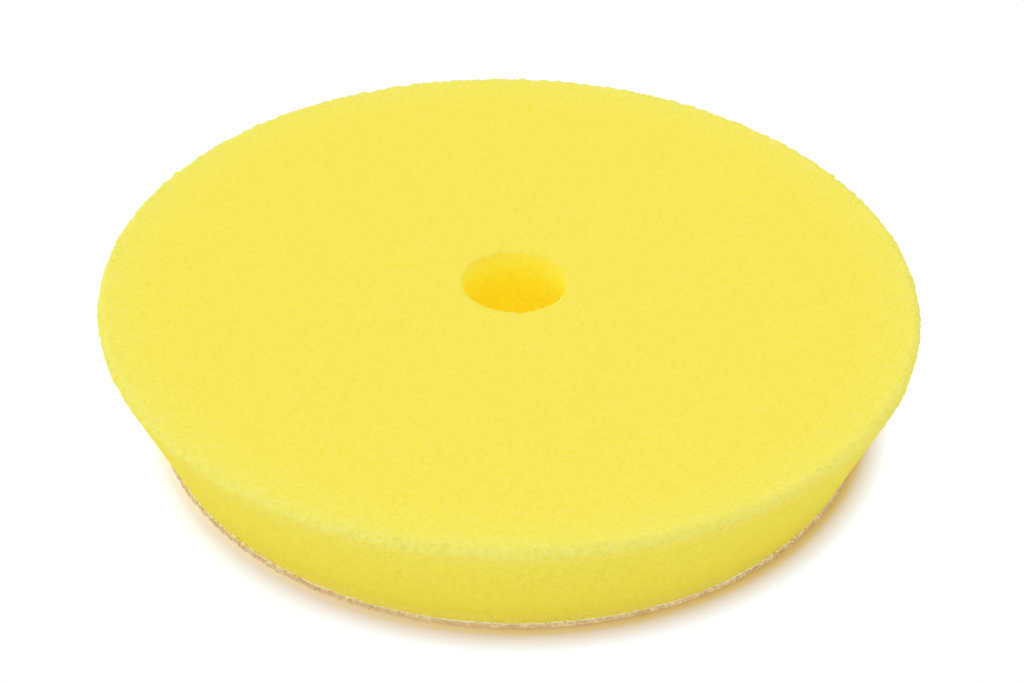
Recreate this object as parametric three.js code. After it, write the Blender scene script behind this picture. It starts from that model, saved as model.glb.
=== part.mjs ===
// A foam polishing pad for a rotary or orbital car polisher: a tapered open-cell foam disc
// with a centre hole, and a hook-and-loop backing laminated to its small face.
// Millimetres, +Z up along the pad's axis. The pad lies on its loops: z = 0 is the plane
// they rest on, at the axis, and the working face is on top.

import * as THREE from 'three';

// Foam disc
const rimDiameter = 165; // widest, just under the working face
const foamThickness = 25.4; // a one inch slab
const sideInset = 9.75; // how far the straight side draws in from the rim to the foot
const edgeRadius = 1.65; // rounding between the working face and the side
const holeDiameter = 22; // centre hole, through the foam and the backing

// Backing, from the foam downwards
const filmThickness = 0.2; // hot-melt adhesive, set as one skin
const groundThickness = 0.4; // knitted ground that holds the loops
const pileHeight = 1.2; // brushed loops, as the layer they fill
const backingTrim = 0; // how far the backing is cut back from the foam's foot

// Facets
const roundSegments = 96; // around the axis
const edgeSegments = 6; // across the rounded edge

const rimRadius = rimDiameter / 2;
const footRadius = rimRadius - sideInset;
const holeRadius = holeDiameter / 2;
const backingRadius = footRadius - backingTrim;

// Heights of the layers, stacked on each other face to face.
const groundUnderside = pileHeight;
const filmUnderside = groundUnderside + groundThickness;
const foamUnderside = filmUnderside + filmThickness;
const workingFace = foamUnderside + foamThickness;

/** Turns a closed outline of [radius, height] points round the Z axis into a ring. */
function ringFrom(outline) {
  const closed = [...outline, outline[0]];
  const points = closed.map(([radius, height]) => new THREE.Vector2(radius, height));
  const ring = new THREE.LatheGeometry(points, roundSegments);
  // LatheGeometry turns about Y: stand its axis up along Z.
  return ring.rotateX(Math.PI / 2);
}

/** A flat ring between two heights, from the centre hole out to the backing's cut edge. */
function backingLayer(underside, top) {
  return ringFrom([
    [holeRadius, underside],
    [backingRadius, underside],
    [backingRadius, top],
    [holeRadius, top],
  ]);
}

/**
 * The foam's outline: foot, straight tapered side, rounded edge, working face, hole.
 * The rounding is an arc whose lower end is tangent to the side, and whose widest
 * point is the rim.
 */
function foamOutline() {
  const arcRadius = rimRadius - edgeRadius; // the arc's centre
  const arcHeight = workingFace - edgeRadius;
  // The side leaves the arc at the angle below the horizontal where the arc's
  // tangent passes through the foot.
  const out = footRadius - arcRadius;
  const down = arcHeight - foamUnderside;
  const sideAngle = Math.atan2(down, out) - Math.acos(edgeRadius / Math.hypot(out, down));
  const outline = [
    [holeRadius, foamUnderside],
    [footRadius, foamUnderside],
  ];
  for (let i = 0; i <= edgeSegments; i++) {
    const angle = -sideAngle + (i / edgeSegments) * (Math.PI / 2 + sideAngle);
    outline.push([
      arcRadius + edgeRadius * Math.cos(angle),
      arcHeight + edgeRadius * Math.sin(angle),
    ]);
  }
  outline.push([holeRadius, workingFace]);
  return outline;
}

/** A matte, non-metallic sub-part with a name of its own. */
function piece(name, geometry, color, roughness) {
  const material = new THREE.MeshStandardMaterial({ color, roughness, metalness: 0 });
  const mesh = new THREE.Mesh(geometry, material);
  mesh.name = name;
  return mesh;
}

const pad = new THREE.Group();
pad.name = 'polishing_pad';

// Soft open-cell polyurethane foam, ground to its taper.
pad.add(piece('foam_disc', ringFrom(foamOutline()), 0xfae958, 0.95));

// The adhesive that bonds the loop fabric to the foam's foot.
pad.add(piece('adhesive_film', backingLayer(filmUnderside, foamUnderside), 0xe6d9a8, 0.5));

// The knitted ground of the loop fabric.
pad.add(piece('loop_ground_fabric', backingLayer(groundUnderside, filmUnderside), 0xddc991, 0.9));

// The brushed loops that a polisher's hook plate grips.
pad.add(piece('loop_pile', backingLayer(0, groundUnderside), 0xd2b676, 0.95));

export default pad;
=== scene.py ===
import math

import bpy
import numpy as np
from mathutils import Matrix, Vector


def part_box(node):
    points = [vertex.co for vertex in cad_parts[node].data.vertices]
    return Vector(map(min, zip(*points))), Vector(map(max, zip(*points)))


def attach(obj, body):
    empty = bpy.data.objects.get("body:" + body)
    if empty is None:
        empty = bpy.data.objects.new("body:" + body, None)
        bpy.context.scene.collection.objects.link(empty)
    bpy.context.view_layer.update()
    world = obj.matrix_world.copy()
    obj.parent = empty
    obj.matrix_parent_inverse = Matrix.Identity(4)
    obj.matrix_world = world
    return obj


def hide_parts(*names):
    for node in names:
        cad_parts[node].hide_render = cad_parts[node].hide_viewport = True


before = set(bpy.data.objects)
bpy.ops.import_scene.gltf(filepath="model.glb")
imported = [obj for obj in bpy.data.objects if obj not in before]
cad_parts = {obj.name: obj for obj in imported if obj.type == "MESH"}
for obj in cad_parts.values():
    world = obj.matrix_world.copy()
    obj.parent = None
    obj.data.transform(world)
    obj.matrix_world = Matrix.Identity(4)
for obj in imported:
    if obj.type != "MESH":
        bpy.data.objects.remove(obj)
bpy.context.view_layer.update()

# Every length is in metres. The pad stands on its loops at z = 0, with its axis on Z.
foam_low, foam_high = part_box("foam_disc")
film_low, film_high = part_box("adhesive_film")
ground_low, ground_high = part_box("loop_ground_fabric")
pile_low, pile_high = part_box("loop_pile")


# ---- Studio ------------------------------------------------------------------------------
# A sheet of white paper, lit through from below, under soft light from all round that is a
# little stronger from the left. A short telephoto lens looks down on the pad from the front.

studio = bpy.context.scene
studio.view_settings.view_transform = "Standard"
studio.cycles.max_bounces = 20
studio.cycles.diffuse_bounces = 16          # light reaches the foot of the hole by many bounces

camera_distance = 0.4324                    # from the middle of the working face
camera_height_angle = math.radians(34.75)
camera_roll = math.radians(1.33)
face_middle = Vector((-0.0006, 0.00035, 0.0))   # the taper is ground this far off the axis
camera_aim = face_middle + Vector((0.0007, 0.0, 0.0113))

camera_place = face_middle + Vector((
    0.0,
    -camera_distance * math.cos(camera_height_angle),
    foam_high[2] + camera_distance * math.sin(camera_height_angle),
))
looking = (camera_aim - camera_place).to_track_quat("-Z", "Y").to_matrix().to_4x4()
camera = bpy.data.objects.new("camera", bpy.data.cameras.new("camera"))
camera.data.sensor_width = 36.0             # in millimetres, as the lens is
camera.data.lens = 74.88
camera.matrix_world = (
    Matrix.Translation(camera_place) @ looking @ Matrix.Rotation(camera_roll, 4, "Z")
)
studio.collection.objects.link(camera)
studio.camera = camera


class Wire:
    """A socket of a material's nodes. Arithmetic on it adds Math nodes."""

    def __init__(self, tree, socket=None):
        self.tree = tree
        self.socket = socket

    def node(self, kind, settings=None, sockets=None, out=0):
        """Adds a node, sets its settings and then its sockets, and returns one output."""
        made = self.tree.nodes.new("ShaderNode" + kind)
        for name, value in (settings or {}).items():
            if name == "stops":
                ramp = made.color_ramp
                for place, shade in value[2:]:
                    ramp.elements.new(place)
                for element, (place, shade) in zip(ramp.elements, sorted(value)):
                    element.position = place
                    element.color = shade
            else:
                setattr(made, name, value)
        for name, value in (sockets or {}).items():
            if isinstance(value, Wire):
                self.tree.links.new(value.socket, made.inputs[name])
            else:
                made.inputs[name].default_value = value
        return Wire(self.tree, made.outputs[out])

    def math(self, operation, *others):
        """One Math node on this value and the others, in that order."""
        return self.node("Math", {"operation": operation}, dict(enumerate((self, *others))))

    def __add__(self, other):
        return self.math("ADD", other)

    def __sub__(self, other):
        return self.math("SUBTRACT", other)

    def __rsub__(self, other):
        return self.math("MULTIPLY_ADD", -1.0, other)

    def __mul__(self, other):
        return self.math("MULTIPLY", other)

    def __truediv__(self, other):
        return self.math("DIVIDE", other)

    __radd__ = __add__
    __rmul__ = __mul__

    def rising(self, start, end):
        """0 below start, 1 above end, and smooth between them; falling where end < start."""
        sockets = {"Value": self, "From Min": start, "From Max": end}
        return self.node("MapRange", {"interpolation_type": "SMOOTHSTEP"}, sockets)

    def mix(self, first, second):
        """The colour first where this is 0 and second where it is 1."""
        return self.node("Mix", {"data_type": "RGBA"}, {0: self, 6: first, 7: second}, out=2)

    def ramp(self, span, stops):
        """The colours of the stops along this value, which stand at lengths from 0 to span."""
        spread = [(place / span, (*shade, 1.0)) for place, shade in stops]
        return self.node("ValToRGB", {"stops": spread}, {0: self / span})

    def axis(self, number):
        """The x, y or z of a vector, by its number from 0 to 2."""
        return self.node("SeparateXYZ", None, {0: self}, out=number)

    def noise(self, scale, detail):
        """Smooth noise from 0 to 1 at this place, with about this many lumps in a metre."""
        return self.node("TexNoise", None, {"Vector": self, "Scale": scale, "Detail": detail})

    def feeds(self, shader, name):
        """Links this value to a socket of the shader."""
        self.tree.links.new(self.socket, shader.inputs[name])

    def roughens(self, shader, strength, distance):
        """Shades the surface as if it stood out by this value times the distance."""
        sockets = {"Strength": strength, "Distance": distance, "Height": self}
        self.node("Bump", None, sockets).feeds(shader, "Normal")


def material(made, name, settings):
    """A new material on this piece, with the settings of its shader.

    Returns the shader, and the place of each point of the piece as a Wire.
    """
    finish = bpy.data.materials.new(name)
    finish.use_nodes = True
    made.data.materials.append(finish)
    shader = finish.node_tree.nodes["Principled BSDF"]
    for socket, value in settings.items():
        shader.inputs[socket].default_value = value
    return shader, Wire(finish.node_tree).node("TexCoord", out=3)


floor_radius = 6.0
floor_sides = 96
floor_turn = 2 * math.pi * np.arange(floor_sides) / floor_sides
floor_rim = floor_radius * np.stack([np.cos(floor_turn), np.sin(floor_turn), 0 * floor_turn], -1)
floor_mesh = bpy.data.meshes.new("paper")
floor_mesh.from_pydata(floor_rim.tolist(), [], [list(range(floor_sides))])
floor = bpy.data.objects.new("paper", floor_mesh)
studio.collection.objects.link(floor)

# The light under the paper is masked where the pad stands, so the paper is white up to the
# pad's overhang, with a narrow warm shadow under it, lighter to the left: partly the renderer's
# own shadow and partly painted shadow in the paper's glow. Through the hole, it lights the bore.
# A warm tint painted into the paper's colour round the pad's foot stands in for the pad's own
# colour bounced onto it. Painted light from the left is added on that side and a part of it
# taken away on the other, and the painted far-left light falls only on the leftmost stretch of
# the shadow.
paper_span = 0.12                           # how far out the paper's ramps of colour run
right_share = 0.3                           # of the painted light from the left, taken away on the right
far_left_power = 6.0                        # of the cosine of the angle from due left
paper_glow_and_painted_shadow = [
    (0.0000, (0.93, 0.93, 0.93)), (0.0105, (0.93, 0.93, 0.93)), (0.0120, (0.33, 0.22, 0.07)),
    (0.0742, (0.33, 0.21, 0.06)), (0.0750, (0.37, 0.29, 0.25)), (0.0760, (0.44, 0.395, 0.38)),
    (0.0770, (0.50, 0.48, 0.51)), (0.0780, (0.55, 0.57, 0.62)), (0.0790, (0.61, 0.64, 0.74)),
    (0.0800, (0.66, 0.71, 0.83)), (0.0820, (0.72, 0.77, 0.89)), (0.0900, (0.66, 0.70, 0.80)),
    (0.1200, (0.53, 0.53, 0.55)),
]
# The paper's own grey, with a warm tint painted round the pad's foot as painted bounce light.
paper_colour_and_painted_warmth = [
    (0.0000, (0.48, 0.48, 0.48)), (0.0200, (0.48, 0.48, 0.48)), (0.0600, (0.48, 0.45, 0.33)),
    (0.0733, (0.48, 0.45, 0.33)), (0.0750, (0.48, 0.48, 0.48)),
]
# Painted light from the left and painted far-left light, added to the paper's glow by radius.
painted_light_from_left = [
    (0.0600, (0.22, 0.28, 0.34)), (0.0735, (0.20, 0.26, 0.33)), (0.0745, (0.11, 0.15, 0.26)),
    (0.0755, (0.06, 0.09, 0.14)), (0.0770, (0.02, 0.04, 0.06)), (0.0790, (0.00, 0.00, 0.00)),
]
far_left = [
    (0.0730, (0.10, 0.14, 0.14)), (0.0750, (0.28, 0.32, 0.30)), (0.0765, (0.40, 0.42, 0.38)),
    (0.0800, (0.30, 0.30, 0.25)), (0.0860, (0.00, 0.00, 0.00)),
]

paper_finish = {"Roughness": 1.0, "Specular IOR Level": 0.0, "Emission Strength": 1.0}
shader, place = material(floor, "backlit_paper", paper_finish)
reach = place.node("VectorMath", {"operation": "LENGTH"}, {0: place}, out=1)
leftward = place.axis(0) / reach * -1.0
leftward = leftward.math("MAXIMUM", leftward * right_share)
outermost = leftward.math("MAXIMUM", 0.0).math("POWER", far_left_power)
glow = reach.ramp(paper_span, paper_glow_and_painted_shadow)
for added, share in ((painted_light_from_left, leftward), (far_left, outermost)):
    lights = {0: reach.ramp(paper_span, added), 1: share, 2: glow}
    glow = place.node("VectorMath", {"operation": "MULTIPLY_ADD"}, lights)
above_zero = {0: glow, 1: (0.0, 0.0, 0.0)}
place.node("VectorMath", {"operation": "MAXIMUM"}, above_zero).feeds(shader, "Emission Color")
reach.ramp(paper_span, paper_colour_and_painted_warmth).feeds(shader, "Base Color")

light_all_round = 0.60
light_from_left, light_from_right = 0.40, 0.10
light_from_behind, light_from_front = 0.27, 0.10
light_from_above = 0.45

studio.world = bpy.data.worlds.new("soft_boxes")
studio.world.use_nodes = True
sky = studio.world.node_tree.nodes["Background"]
facing = Wire(studio.world.node_tree).node("TexCoord")
sideways, away, upward = (facing.axis(number) for number in range(3))
light = light_all_round
for added, side in (
    (light_from_left, -1.0 * sideways), (light_from_right, sideways),
    (light_from_behind, away), (light_from_front, -1.0 * away),
):
    light = light + added * side.math("MAXIMUM", 0.0)
light = light + light_from_above * upward.math("MAXIMUM", 0.0).math("POWER", 2.0)
light.feeds(sky, "Strength")
sky.inputs["Color"].default_value = (1.0, 1.0, 1.0, 1.0)


# ---- Foam disc ---------------------------------------------------------------------------
# One block of soft open-cell polyurethane foam, ground to a taper with a small rounding at
# the working edge. Every face is cut through the cells, so it is all fine pits and struts.

rim_radius = foam_high[0]
foot_radius = film_high[0]
hole_radius = 0.011
bore_radius = hole_radius - 0.0003          # foam springs back behind the punch
bore_neck = 0.004                           # the glued end of the bore, which can't spring back
edge_radius = 0.00165
mouth_radius = 0.0003
bore_lean = (0.00095, -0.00090, 0.0)        # how much further the punch pushed the mouth
lean_fade = 0.015                           # how far round the bore the foam leans with it
lip_drop = 0.00055                          # foam that bulges down past the backing's edge
lip_out = 0.00006
lip_back = 0.0001                           # in from the foot, where the lip ends
glue_start = 0.0003                         # in from the foot, where the foam is glued down
glue_margin = 0.0010                        # and where its points may stand further apart
cell = 0.00062                              # mean width of a cell
face_pits = 0.00009                         # depth of the cut cells on the flat face
side_pits = 0.00024
edge_pits = 0.00013
side_pits_full = 0.006                      # below the face, where the pits reach that depth
swell, swell_width = 0.0001, 0.013          # the slow waves that lie under the pits
ragged_edge = 0.00024                       # of the torn cells along the working edge
fluff = 0.00018                             # that they stand out on the whole
clump_width, shred_width = 0.0017, 0.0007   # of the pieces that the torn cells hang in
rim_tear = 0.0022                           # how far from an edge its cells are torn
mouth_tear = 0.0010
foot_tear = 0.0006
rim_softness, mouth_softness = 2.5, 1.5     # of the shading, where the torn cells let light in
skin_step = 0.0004                          # between the skin's points
edge_step = 0.00028
edge_zone = 0.003                           # of closer points on both sides of the rounding
mouth_zone = 0.0015
hidden_step = 0.003                         # on the glued underside


def hashed(cells, salt):
    """A fixed random number from 0 to 1 for each whole-numbered cell (i, j, k).

    Wraps a sum of the three numbers times large odd numbers to 64 bits, then mixes its
    high half into its low half twice.
    """
    mixed = (
        cells[..., 0].astype(np.uint64) * np.uint64(0x9E3779B97F4A7C15)
        + cells[..., 1].astype(np.uint64) * np.uint64(0xC2B2AE3D27D4EB4F)
        + cells[..., 2].astype(np.uint64) * np.uint64(0x165667B19E3779F9)
        + np.uint64(salt) * np.uint64(0x27D4EB2F165667C5)
    )
    for _ in range(2):
        mixed ^= mixed >> np.uint64(29)
        mixed *= np.uint64(0xBF58476D1CE4E5B9)
    return (mixed >> np.uint64(11)).astype(np.float64) / float(1 << 53)


def bubbles(points, width, salt):
    """Distances from each point to its nearest and next nearest bubble, in bubble widths.

    Space is cut into cubes of the given width with one bubble centre at a random place in
    each; the 27 cubes round a point hold its nearest ones.
    """
    scaled = points / width
    home = np.floor(scaled).astype(np.int64)
    nearest = np.full(len(points), 9.0)
    second = np.full(len(points), 9.0)
    for step in np.ndindex(3, 3, 3):
        cube = home + np.array(step) - 1
        centre = cube + np.stack([hashed(cube, salt + axis) for axis in range(3)], -1)
        gap = np.linalg.norm(scaled - centre, axis=1)
        second = np.minimum(second, np.maximum(nearest, gap))
        nearest = np.minimum(nearest, gap)
    return nearest, second


def drift(points, width, salt):
    """Smooth noise from -1 to 1: random values on a lattice of the given width, blended
    between lattice points by 3 t^2 - 2 t^3 along each axis."""
    scaled = points / width
    home = np.floor(scaled).astype(np.int64)
    part = scaled - home
    part = part * part * (3.0 - 2.0 * part)
    total = np.zeros(len(points))
    for step in np.ndindex(2, 2, 2):
        corner = np.array(step)
        weight = np.prod(np.where(corner, part, 1.0 - part), axis=1)
        total += weight * hashed(home + corner, salt)
    return 2.0 * total - 1.0


def wound_skin(radius, height, step):
    """A closed skin wound round the Z axis from an outline of (radius, height) points, walked
    with the solid on its right.

    Circle k stands at radius[k] and height[k] and holds 2 pi radius / step points, every
    other circle turned by half a point. Point i of a circle of n is at the angle
    2 pi (i + half) / n. Neighbouring circles are zipped: an edge joins the point of the
    other circle that is level with its middle. The last circle is zipped to the first.
    Returns the points, the triangles and the number of the outline point of each point.
    """
    count = np.maximum(np.rint(2 * np.pi * radius / step), 12).astype(np.int64)
    half = np.arange(len(radius)) % 2
    first = np.concatenate([[0], np.cumsum(count)[:-1]])
    row = np.repeat(np.arange(len(radius)), count)
    place = np.arange(count.sum()) - first[row]
    angle = 2 * np.pi * (place + 0.5 * half[row]) / count[row]
    points = np.stack(
        [radius[row] * np.cos(angle), radius[row] * np.sin(angle), height[row]], -1
    )
    triangles = []
    for here in range(len(radius)):
        there = (here + 1) % len(radius)
        n, m, a, b = count[here], count[there], half[here], half[there]
        i, j = np.arange(n), np.arange(m)
        across = -((-((2 * i + 1 + a) * m - (1 + b) * n)) // (2 * n))
        back = ((2 * j + 1 + b) * n - (1 + a) * m) // (2 * m) + 1
        triangles.append(np.stack(
            [first[there] + across % m, first[here] + (i + 1) % n, first[here] + i], -1
        ))
        triangles.append(np.stack(
            [first[here] + back % n, first[there] + j, first[there] + (j + 1) % m], -1
        ))
    return points, np.concatenate(triangles), row


def walk(corners, steps):
    """Points along straight lines from corner to corner, about the given steps apart."""
    path = [np.array(corners[:1], float)]
    for start, end, step in zip(corners[:-1], corners[1:], steps):
        start, end = np.array(start, float), np.array(end, float)
        n = max(1, round(float(np.linalg.norm(end - start)) / step))
        path.append(start + (end - start) * (np.arange(1, n + 1) / n)[:, None])
    return np.concatenate(path)


def rounding(middle, radius, start, end, step):
    """Points about a step apart on an arc round the middle, from one angle to the other."""
    turn = np.linspace(start, end, max(2, round(radius * abs(end - start) / step)) + 1)
    return np.array(middle) + radius * np.stack([np.cos(turn), np.sin(turn)], -1)


def unit(vectors):
    """The same directions, one unit long."""
    return vectors / np.linalg.norm(vectors, axis=-1, keepdims=True)


def reach_of(points):
    """How far each point is from the Z axis."""
    return np.linalg.norm(points[:, :2], axis=1)


def nearness(points, radius, height, spread):
    """A bell of the distance from a circle round the Z axis: 1 on it and 1/e at the spread."""
    return np.exp(-(np.hypot(reach_of(points) - radius, points[:, 2] - height) / spread) ** 2)


def piece(name, points, triangles, smooth=True):
    """A mesh object at the origin from an array of points and an array of triangles."""
    mesh = bpy.data.meshes.new(name)
    mesh.vertices.add(len(points))
    mesh.vertices.foreach_set("co", points.astype(np.float32).ravel())
    mesh.loops.add(triangles.size)
    mesh.loops.foreach_set("vertex_index", triangles.astype(np.int32).ravel())
    mesh.polygons.add(len(triangles))
    mesh.polygons.foreach_set("loop_start", np.arange(0, triangles.size, 3, dtype=np.int32))
    mesh.polygons.foreach_set("use_smooth", np.full(len(triangles), smooth))
    mesh.update(calc_edges=True)
    made = bpy.data.objects.new(name, mesh)
    studio.collection.objects.link(made)
    return made


def store(made, name, values):
    """Keeps one number for each point of a piece, for its material to read."""
    kept = made.data.attributes.new(name, "FLOAT", "POINT")
    kept.data.foreach_set("value", values.astype(np.float32))


# The outline runs up the hole, out across the face, round the edge, down the side, round the
# lip that hangs over the backing's edge, and back under the foot. The side leaves the rounding
# on the line that is tangent to it and meets the foot.
foam_bottom, foam_top = foam_low[2], foam_high[2]
arc_radius, arc_height = rim_radius - edge_radius, foam_top - edge_radius
out, down = foot_radius - arc_radius, arc_height - foam_bottom
side_angle = math.atan2(down, out) - math.acos(edge_radius / math.hypot(out, down))
arc = rounding((arc_radius, arc_height), edge_radius, math.pi / 2, -side_angle, edge_step)
mouth_middle = (bore_radius + mouth_radius, foam_top - mouth_radius)
mouth = rounding(mouth_middle, mouth_radius, math.pi, math.pi / 2, edge_step)

hole_path = walk(
    [(hole_radius, foam_bottom), (bore_radius, foam_bottom + bore_neck), mouth[0]],
    [skin_step, skin_step],
)
face_path = walk(
    [mouth[-1], (arc_radius - edge_zone, foam_top), (arc_radius, foam_top)],
    [skin_step, edge_step],
)
side_length = math.dist(arc[-1], (foot_radius, foam_bottom))
side_corner = arc[-1] + (np.array([foot_radius, foam_bottom]) - arc[-1]) * edge_zone / side_length
side_path = walk([arc[-1], side_corner, (foot_radius, foam_bottom)], [edge_step, skin_step])
lip = np.array([
    [foot_radius + lip_out, foam_bottom - lip_drop * 0.6],
    [foot_radius + lip_out * 0.4, foam_bottom - lip_drop],
    [foot_radius - lip_back, foam_bottom - lip_drop * 0.3],
])
side_path = np.concatenate([side_path, lip])
under_path = walk(
    [(foot_radius - glue_start, foam_bottom), (foot_radius - glue_margin, foam_bottom),
     (hole_radius, foam_bottom)],
    [edge_step, hidden_step],
)
foam_path = np.concatenate([
    hole_path, mouth[1:-1], face_path, arc[1:-1], side_path, under_path[:-1],
])
path_radius, path_height = foam_path.T
hidden = np.arange(len(foam_path)) >= len(foam_path) - len(under_path) + 1
close = (path_radius > arc_radius - edge_zone) & (path_height > side_corner[1])
close |= (path_radius < bore_radius + mouth_zone) & (path_height > foam_top - mouth_zone)
foam_step = np.where(hidden, hidden_step, np.where(close, edge_step, skin_step))
foam_points, foam_triangles, foam_row = wound_skin(path_radius, path_height, foam_step)

# The outline's outward normal is its direction turned left, and it turns with the spoke.
along = unit(np.roll(foam_path, -1, 0) - np.roll(foam_path, 1, 0))
spoke = unit(foam_points[:, :2])
foam_normals = np.concatenate([-spoke * along[foam_row, 1:], along[foam_row, :1]], 1)

# A cut cell is a pit that is deepest where its two nearest bubbles differ most in distance.
# Slow waves lie under the pits, and the cells along the edges are torn into clumps and shreds.
# The torn edges let light through and so shade softly: their normals lean to the outline's.
pit_wall = 0.7                              # the difference, in cells, at a pit's deepest
pit_power = 0.8
mean_pit = 0.45                             # taken off, so that pits don't thin the foam
nearest, second = bubbles(foam_points, cell, 11)
pit = np.clip((second - nearest) / pit_wall, 0.0, 1.0) ** pit_power
at_rim = nearness(foam_points, rim_radius, foam_top, rim_tear)
at_mouth = nearness(foam_points, bore_radius, foam_top, mouth_tear)
at_foot = nearness(foam_points, foot_radius, foam_bottom, foot_tear)
on_side = np.clip((foam_top - foam_points[:, 2]) / side_pits_full, 0.0, 1.0)
pit_depth = face_pits + (side_pits - face_pits) * on_side
pit_depth += (edge_pits - face_pits) * (at_rim + at_mouth)
lift = pit_depth * (mean_pit - pit) + swell * drift(foam_points, swell_width, 41)
clumps, shreds = drift(foam_points, clump_width, 43), drift(foam_points, shred_width, 47)
ragged = 0.7 * clumps + 1.4 * shreds
lift += ragged_edge * ragged * np.clip(at_rim + 0.6 * at_mouth + 0.6 * at_foot, 0.0, 1.0)
lift += fluff * at_rim
foam_points = foam_points + foam_normals * np.where(hidden[foam_row], 0.0, lift)[:, None]

# The whole taper leans to the middle of its face, and the bore leans further.
share_of_height = np.clip((foam_points[:, 2] - foam_bottom) / (foam_top - foam_bottom), 0.0, 1.0)
from_bore = (reach_of(foam_points) - bore_radius) / lean_fade
lean_share = share_of_height * np.exp(-from_bore ** 2)
foam_points = foam_points + np.array(face_middle) * share_of_height[:, None]
foam_points = foam_points + np.array(bore_lean) * lean_share[:, None]
foam = piece("foam_disc_skin", foam_points, foam_triangles)
own_normals = np.empty(foam_points.size, np.float32)
foam.data.vertex_normals.foreach_get("vector", own_normals)
softened = (rim_softness * at_rim + mouth_softness * at_mouth)[:, None] * foam_normals
foam.data.normals_split_custom_set_from_vertices(
    unit(own_normals.reshape(-1, 3) + softened).tolist()
)
store(foam, "pit", pit)
mouth_rows = [len(hole_path) - 1, len(hole_path) + len(mouth) - 2]
in_bore = np.interp(foam_row, mouth_rows, [1.0, 0.0])
store(foam, "bore", in_bore)

# The skin laid flat for a painter: the face as a disc, the side as three strips, the bore as
# one, and the glued underside small. A strip runs with the turn and is as wide as its path.
map_scale = 4.25                            # map widths in a metre
under_scale = 0.75
map_margin = 0.006
ragged_margin = 0.001                       # for the torn edge, which stands out past the rim
side_share = 0.95                           # of the rim's radius, as the side's mean radius
bands = foam_row[foam_triangles]
band = np.where(np.ptp(bands, axis=1) > 1, bands.max(1), bands.min(1))[:, None]
run = np.concatenate([[0.0], np.cumsum(np.linalg.norm(np.diff(foam_path, axis=0), axis=1))])
corners = foam_points[foam_triangles]
turn = np.arctan2(corners[..., 1], corners[..., 0])
middle = np.arctan2(corners[..., 1].sum(1), corners[..., 0].sum(1))[:, None]
turn = middle + (turn - middle + math.pi) % (2 * math.pi) - math.pi
third = np.minimum(np.floor((middle + math.pi) * 3 / (2 * math.pi)), 2)
side_start = len(hole_path) + len(mouth) - 2 + len(face_path) + len(arc) // 2 - 1
side_end = len(foam_path) - len(under_path) + 1
turn_in_third = turn + math.pi - third * 2 * math.pi / 3
strip = map_margin + turn_in_third * rim_radius * side_share * map_scale
width = (run[bands] - run[side_start]) * map_scale
disc_middle = map_margin + rim_radius * map_scale + ragged_margin
flat_face = disc_middle + corners[..., :2] * map_scale
first_strip = 2 * disc_middle + map_margin
strip_pitch = (run[side_end] - run[side_start]) * map_scale + map_margin
flat_side = np.where(
    third[..., None] < 2,
    np.stack([strip, first_strip + third * strip_pitch + width], -1),
    np.stack([first_strip + width, strip], -1),
)
bore_start = first_strip + strip_pitch
flat_bore = np.stack([
    bore_start + run[bands] * map_scale, map_margin + (turn + math.pi) * bore_radius * map_scale,
], -1)
under_middle = np.array([bore_start + 0.06, 0.5])   # beyond the end of the bore's strip
flat_under = under_middle + corners[..., :2] * under_scale
flat = np.where(
    (band < len(hole_path) - 1)[..., None], flat_bore,
    np.where((band < side_start)[..., None], flat_face,
             np.where((band < side_end)[..., None], flat_side, flat_under)),
)
foam_map = foam.data.uv_layers.new(name="OFBake")
foam_map.uv.foreach_set("vector", flat.astype(np.float32).ravel())

# The knife leaves the ends of cut struts standing, most of them at the edges. Each is a thin
# three-sided spike that leans at random, and those at the foot hang over the backing.
strut_length = 0.00055
strut_width = 0.00009
strut_root = 0.00006                        # how deep in the skin each one starts
strut_lean = 0.40
strut_hang = 1.4                            # downwards, at the foot
strays = 0.002                              # the chance of one at a point of the skin
rim_struts, mouth_struts, foot_struts = 0.040, 0.05, 0.12
dice = np.random.default_rng(3)
chance = strays + rim_struts * at_rim + mouth_struts * at_mouth + foot_struts * at_foot
rooted = np.flatnonzero(dice.random(len(foam_points)) < np.where(hidden[foam_row], 0.0, chance))
lean = foam_normals[rooted] + strut_lean * dice.normal(size=(len(rooted), 3))
lean = unit(lean - np.array([0.0, 0.0, strut_hang]) * at_foot[rooted][:, None])
base = foam_points[rooted] - strut_root * lean
aside = unit(np.cross(lean, dice.normal(size=(len(rooted), 3))))
strut_turn = 2 * np.pi * np.arange(3)[None, :, None] / 3
ring = base[:, None] + strut_width * (
    aside[:, None] * np.cos(strut_turn) + np.cross(lean, aside)[:, None] * np.sin(strut_turn)
)
tip = base + lean * (strut_length * (0.35 + 0.65 * dice.random(len(rooted))))[:, None]
strut_points = np.concatenate([ring, tip[:, None]], 1).reshape(-1, 3)
strut_faces = np.array([[0, 1, 3], [1, 2, 3], [2, 0, 3], [0, 2, 1]])
strut_triangles = (strut_faces + 4 * np.arange(len(rooted))[:, None, None]).reshape(-1, 3)
struts = piece("foam_disc_struts", strut_points, strut_triangles, smooth=False)
store(struts, "pit", np.zeros(len(strut_points)))
store(struts, "bore", np.repeat(in_bore[rooted], 4))
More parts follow.
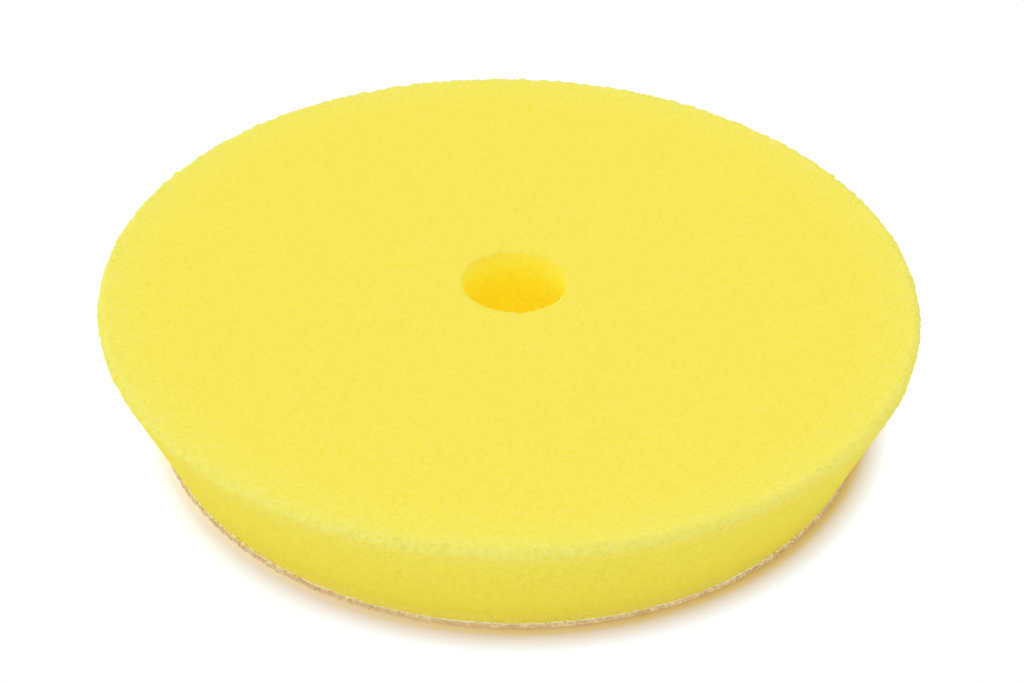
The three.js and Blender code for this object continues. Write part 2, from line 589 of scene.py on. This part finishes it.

# The colour is painted paler to the edge, as painted light for the light that comes through the
# thin struts, and deeper down the side and the bore, as painted shade and, in the bore, painted
# light bounced round inside it. Pits are painted a little deeper in colour than the walls
# between them, as painted shade, and random specks vary the tone.
face_span, depth_span = 0.0825, 0.0254      # how far out and how far down the colours run
face_ends, side_starts = 0.0004, 0.0022     # how far below the face the colours change
speck_width = 0.0009
wall_spacing = 0.00045
face_colour_and_painted_rim_light = [
    (0.0000, (0.985, 0.845, 0.098)), (0.0700, (0.985, 0.845, 0.098)),
    (0.0780, (0.968, 0.858, 0.113)), (0.0800, (0.955, 0.870, 0.126)),
    (0.0825, (0.950, 0.890, 0.155)),
]
# Painted shade: the side is pale at the top, painted darker down to near the foot, and painted
# lighter again at the foot.
side_colour_and_painted_shade = [
    (0.0000, (0.945, 0.855, 0.150)), (0.0020, (0.910, 0.802, 0.102)),
    (0.0050, (0.895, 0.772, 0.078)), (0.0150, (0.865, 0.733, 0.066)),
    (0.0222, (0.842, 0.708, 0.062)), (0.0252, (0.900, 0.785, 0.100)),
]
# Painted shade and bounce light: the bore is painted deeper and more saturated towards its foot.
bore_colour_and_painted_shade = [
    (0.0000, (0.990, 0.930, 0.120)), (0.0030, (0.990, 0.935, 0.084)),
    (0.0060, (0.980, 0.900, 0.050)), (0.0100, (0.975, 0.850, 0.034)),
    (0.0254, (0.965, 0.785, 0.026)),
]
# A painted glow in the bore, standing in for light carried in through the foam from the face.
painted_bore_glow = [
    (0.0000, (0.030, 0.040, 0.000)), (0.0030, (0.038, 0.030, 0.000)),
    (0.0070, (0.028, 0.016, 0.000)), (0.0130, (0.012, 0.005, 0.000)),
    (0.0254, (0.000, 0.000, 0.000)),
]
# Painted shade in the pits, paler walls between them, and random specks that share both colours.
pale_wall = (1.0, 1.0, 1.35, 1.0)
pit_painted_shade_and_dark_speck = (0.945, 0.930, 0.60, 1.0)

foam_finish = {"Roughness": 0.9, "Specular IOR Level": 0.05, "Emission Strength": 1.0}
shader, place = material(foam, "yellow_open_cell_foam", foam_finish)
struts.data.materials.append(foam.data.materials[0])
across, deep, height = (place.axis(number) for number in range(3))
across, deep = across - face_middle.x, deep - face_middle.y
reach = (across * across + deep * deep).math("SQRT")
below = foam_top - height
outside = below.rising(face_ends, side_starts).mix(
    reach.ramp(face_span, face_colour_and_painted_rim_light), below.ramp(depth_span, side_colour_and_painted_shade)
)
bore = place.node("Attribute", {"attribute_name": "bore"}, None, out=2)
body = bore.mix(outside, below.ramp(depth_span, bore_colour_and_painted_shade))
pits = place.node("Attribute", {"attribute_name": "pit"}, None, out=2)
specks = place.noise(1 / speck_width, 1.0).rising(0.25, 0.75)
tone = (0.55 * pits + 0.45 * specks).mix(pale_wall, pit_painted_shade_and_dark_speck)
toned = {"data_type": "RGBA", "blend_type": "MULTIPLY"}
place.node("Mix", toned, {0: 1.0, 6: body, 7: tone}, out=2).feeds(shader, "Base Color")
no_glow = (0.0, 0.0, 0.0, 1.0)
bore.mix(no_glow, below.ramp(depth_span, painted_bore_glow)).feeds(shader, "Emission Color")
walls = place.node(
    "TexVoronoi", {"feature": "DISTANCE_TO_EDGE"}, {"Vector": place, "Scale": 1 / wall_spacing}
)
walls.rising(0.25, 0.0).roughens(shader, 0.4, 0.0001)

for part in (foam, struts):
    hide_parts("foam_disc")
    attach(part, "root")


# ---- Adhesive film -----------------------------------------------------------------------
# A film of pale hot-melt adhesive that bonds the foam to its backing. Its cut edge lies a
# little inside the foam's, pulled back unevenly as it set.

film_bottom, film_top = film_low[2], film_high[2]
film_set_back = 0.00020
film_bulge = 0.00004
film_ooze, ooze_width = 0.00008, 0.0017     # how uneven the bead along its edge is
bead_step = 0.0005


def ring_outline(inner, outer, bottom, top, bulge, edge_points):
    """The outline of a flat ring with rounded edges, walked up the hole and out on top.

    Each edge is half an ellipse as tall as the ring that stands out by the bulge. The flats
    between them have points the hidden step apart. Returns radii and heights.
    """
    middle, half_height = (bottom + top) / 2, (top - bottom) / 2
    turn = np.linspace(-math.pi / 2, math.pi / 2, edge_points)
    flat = np.linspace(inner, outer, max(3, round((outer - inner) / hidden_step)) + 1)[1:-1]
    radius = np.concatenate([
        inner - bulge * np.cos(turn), flat, outer + bulge * np.cos(turn), flat[::-1],
    ])
    height = np.concatenate([
        middle + half_height * np.sin(turn), np.full(len(flat), top),
        middle - half_height * np.sin(turn), np.full(len(flat), bottom),
    ])
    return radius, height


def at_either_edge(radius, inner, outer):
    """1 at the outer edge of a ring, -1 at its hole and 0 on the flats between."""
    return np.where(radius > outer - 1e-6, 1.0, np.where(radius < inner + 1e-6, -1.0, 0.0))


def pushed(points, amount):
    """The points moved out from the Z axis by an amount each, or in where it is negative."""
    return points * (1 + np.array([1, 1, 0]) * (amount / reach_of(points))[:, None])


film_inner, film_outer = hole_radius + film_set_back, foot_radius - film_set_back
film_radius, film_height = ring_outline(
    film_inner, film_outer, film_bottom, film_top, film_bulge, edge_points=5
)
film_edge = at_either_edge(film_radius, film_inner, film_outer)
film_points, film_triangles, film_row = wound_skin(
    film_radius, film_height, np.where(film_edge, bead_step, hidden_step)
)
ooze = film_ooze * drift(film_points * (1, 1, 0), ooze_width, 53) * film_edge[film_row]
film = piece("adhesive_film_skin", pushed(film_points, ooze), film_triangles)

shader, place = material(film, "pale_hot_melt_adhesive", {"Roughness": 0.5})
cloudy = place.noise(900.0, 3.0)
clear_bead, milky_bead = (0.88, 0.74, 0.36, 1.0), (0.93, 0.82, 0.48, 1.0)
cloudy.rising(0.35, 0.65).mix(clear_bead, milky_bead).feeds(shader, "Base Color")
cloudy.roughens(shader, 0.5, 0.0001)

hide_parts("adhesive_film")
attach(film, "root")


# ---- Ground fabric -----------------------------------------------------------------------
# The warp-knitted polyester ground of the hook-and-loop backing, laminated flat to the foam
# and die-cut to its foot. Its cut edge is ribbed by the knit, a little frayed and wavy.

ground_bottom, ground_top = ground_low[2], ground_high[2]
ground_bulge = 0.00014
wale = 0.00095                              # from one knitted rib to the next
fray, fray_width = 0.00012, 0.0006          # of the threads that stand out at the cut edge
droop = 0.00032                             # of the cut edge, at most
wave_width, ripple_width = 0.0021, 0.0007
thread_step = 0.00035

ground_outer = foot_radius - 0.00004        # just inside the foam's lip
ground_radius, ground_height = ring_outline(
    hole_radius, ground_outer, ground_bottom, ground_top, ground_bulge, edge_points=7
)
ground_edge = at_either_edge(ground_radius, hole_radius, ground_outer)
ground_points, ground_triangles, ground_row = wound_skin(
    ground_radius, ground_height, np.where(ground_edge, thread_step, hidden_step)
)
rib = np.cos(2 * math.pi * ground_points[:, 0] / wale)
frayed = fray * (0.8 * drift(ground_points * (1, 1, 0.5), fray_width, 67) + 0.3 * rib)
ground_flat = ground_points * (1, 1, 0)
wave = 0.6 * drift(ground_flat, wave_width, 91) + 0.4 * drift(ground_flat, ripple_width, 93)
ground_points[:, 2] -= droop * (0.5 + 0.5 * wave) * np.abs(ground_edge)[ground_row]
ground_points = pushed(ground_points, frayed * ground_edge[ground_row])
ground = piece("ground_fabric_skin", ground_points, ground_triangles)

cloth_finish = {"Roughness": 0.85, "Sheen Weight": 0.3}
shader, place = material(ground, "knitted_ground_cloth", cloth_finish)
knit = (place.axis(0) * (2 * math.pi / wale)).math("SINE")
fibre = place.noise(2600.0, 2.0)
thread_shade, thread_light = (0.95, 0.83, 0.56, 1.0), (0.99, 0.91, 0.68, 1.0)
fibre.rising(0.3, 0.7).mix(thread_shade, thread_light).feeds(shader, "Base Color")
(fibre + knit * 0.3).roughens(shader, 0.6, 0.00012)

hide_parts("loop_ground_fabric")
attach(ground, "root")


# ---- Loop pile ---------------------------------------------------------------------------
# The brushed loops that the hooks of a backing plate grip: polyester filaments that leave
# the ground fabric in little arches, matted like felt and splayed out where they meet the
# table.

loop_hang = 0.00035                         # how far the loops reach below the mat
mat_bottom, mat_top = pile_low[2] + loop_hang, pile_high[2]
mat_hole = hole_radius + 0.0003
mat_root = foot_radius - 0.00030            # where the mat leaves the ground fabric
mat_splay = foot_radius + 0.00030           # where it meets the table
mat_middle, glued_reach = 0.04, 0.03        # a circle, and how far from it the top is glued
mat_step = 0.0005
mat_face_step = mat_step * 1.6
lump = 0.00016
tuft_width, lump_width = 0.0008, 0.0031
hollow, hollow_width = 0.00012, 0.0011      # of the mat's face, between the loops
loop_height = 0.00040
loop_width = 0.00065
under_loop_height = 0.0003
edge_loop_rise = 0.0001                     # how far they may lie over the ground fabric
under_scatter, edge_scatter = 0.35, 0.6     # of the directions in which the loops stand
filament_radius = 0.00006
loop_points = 6
loops_underneath = 6000
loops_round_edge = 4600
loops_round_hole = 500

mat_path = walk(
    [(mat_hole, mat_bottom), (mat_hole, mat_top), (mat_root, mat_top), (mat_splay, mat_bottom),
     (mat_hole, mat_bottom)],
    [mat_step / 2, hidden_step, mat_step / 2, mat_face_step],
)[:-1]
on_top = mat_path[:, 1] > mat_top - 1e-9
glued = on_top & (np.abs(mat_path[:, 0] - mat_middle) < glued_reach)
mat_points, mat_triangles, mat_row = wound_skin(
    mat_path[:, 0], mat_path[:, 1], np.where(glued, hidden_step, mat_face_step)
)
outwards = np.where(reach_of(mat_points) > mat_middle, 1.0, -1.0) * (~glued)[mat_row]
lumps = lump * (drift(mat_points, tuft_width, 71) + 0.8 * drift(mat_points, lump_width, 73))
is_under = mat_points[:, 2] < mat_bottom + 1e-6
mat_points = pushed(mat_points, lumps * outwards)
mat_points[:, 2] += hollow * drift(mat_points, hollow_width, 83) * is_under
mat = piece("loop_pile_mat", mat_points, mat_triangles)


def loops(roots, rise, along, height, width, low, high):
    """Little arches of filament, one on each root, kept between two heights.

    A filament of an arch runs along half an ellipse: at the turn t from 0 to pi it is at
    root - along * width / 2 * cos t + rise * height * sin t. Three points stand round it at
    each of its stations, and both ends are closed. An arch that reaches past the low or the
    high height is moved back whole.
    """
    turn = np.linspace(0.0, math.pi, loop_points)[None, :, None]
    rise, along = rise[:, None, :], along[:, None, :]
    height, width = height[:, None, None], width[:, None, None]
    middle = roots[:, None, :] - along * width / 2 * np.cos(turn) + rise * height * np.sin(turn)
    heading = unit(along * width / 2 * np.sin(turn) + rise * height * np.cos(turn))
    sideways = np.cross(along, rise) * np.ones_like(heading)
    upwards = np.cross(heading, sideways)
    ring = 2 * math.pi * np.arange(3)[None, None, :, None] / 3
    points = middle[:, :, None, :] + filament_radius * (
        sideways[:, :, None, :] * np.cos(ring) + upwards[:, :, None, :] * np.sin(ring)
    )
    levels = points[..., 2].reshape(len(roots), -1)
    back = np.minimum(high - levels.max(1), 0.0)
    back = np.maximum(low - levels.min(1), back)
    points[..., 2] += back[:, None, None]
    station = np.arange(loop_points - 1)[:, None] * 3
    near, far = station + np.arange(3), station + (np.arange(3) + 1) % 3
    last = 3 * loop_points - 3
    pattern = np.concatenate([
        np.stack([near, far, near + 3], -1).reshape(-1, 3),
        np.stack([far, far + 3, near + 3], -1).reshape(-1, 3),
        [[0, 2, 1], [last, last + 1, last + 2]],
    ])
    first = 3 * loop_points * np.arange(len(roots))[:, None, None]
    return points.reshape(-1, 3), (pattern + first).reshape(-1, 3)


dice = np.random.default_rng(5)


def scattered(count):
    """Random unit vectors, even over all directions: three normal draws each, made unit."""
    return unit(dice.normal(size=(count, 3)))


def square_to(rise, rough):
    """The rough directions made square to each rise and unit long."""
    return unit(rough - rise * np.sum(rough * rise, axis=1)[:, None])


turned = 2 * math.pi * dice.random(loops_underneath)
reach = np.sqrt(mat_hole ** 2 + (mat_splay ** 2 - mat_hole ** 2) * dice.random(loops_underneath))
roots = np.stack([reach * np.cos(turned), reach * np.sin(turned), 0 * reach + mat_bottom], -1)
rise = unit(scattered(loops_underneath) * under_scatter + np.array([0.0, 0.0, -1.0]))
under_points, under_triangles = loops(
    roots, rise, square_to(rise, scattered(loops_underneath)),
    np.full(loops_underneath, under_loop_height),
    loop_width * (1.0 + 1.2 * dice.random(loops_underneath)),
    pile_low[2], mat_bottom + loop_width,
)
under_loops = piece("loop_pile_face", under_points, under_triangles)

around = loops_round_edge + loops_round_hole
turned = 2 * math.pi * dice.random(around)
outside = np.arange(around) < loops_round_edge
spoke = np.stack([np.cos(turned), np.sin(turned), np.zeros(around)], -1)
up_wall = dice.random(around)               # 0 at the table and 1 at the ground fabric
wall = np.where(outside, mat_splay + (mat_root - mat_splay) * up_wall, mat_hole)
roots = spoke * wall[:, None]
roots[:, 2] = mat_bottom + (mat_top - mat_bottom) * up_wall
rise = unit(spoke * np.where(outside, 1.0, -1.0)[:, None] + scattered(around) * edge_scatter)
edge_points, edge_triangles = loops(
    roots, rise, square_to(rise, scattered(around)),
    loop_height * (0.3 + 0.7 * dice.random(around)),
    loop_width * (0.5 + 0.8 * dice.random(around)),
    pile_low[2], mat_top + edge_loop_rise,
)
edge_loops = piece("loop_pile_fringe", edge_points, edge_triangles)

loop_finish = {"Roughness": 0.8, "Sheen Weight": 0.3}
shader, place = material(mat, "brushed_polyester_loops", loop_finish)
# Cream at the ground fabric, and painted darker and more golden down towards the table as painted
# shade of the contact, with random tufts.
tuft = place.noise(1400.0, 3.0)
table_loops_painted_shade, root_loops = (0.95, 0.75, 0.38, 1.0), (0.98, 0.84, 0.54, 1.0)
paled = 0.75 * place.axis(2).rising(0.0002, 0.0011) + 0.35 * tuft.rising(0.3, 0.7)
paled.mix(table_loops_painted_shade, root_loops).feeds(shader, "Base Color")
tuft.roughens(shader, 0.5, 0.0002)

for part in (under_loops, edge_loops):
    part.data.materials.append(mat.data.materials[0])
for part in (mat, under_loops, edge_loops):
    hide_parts("loop_pile")
    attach(part, "root")
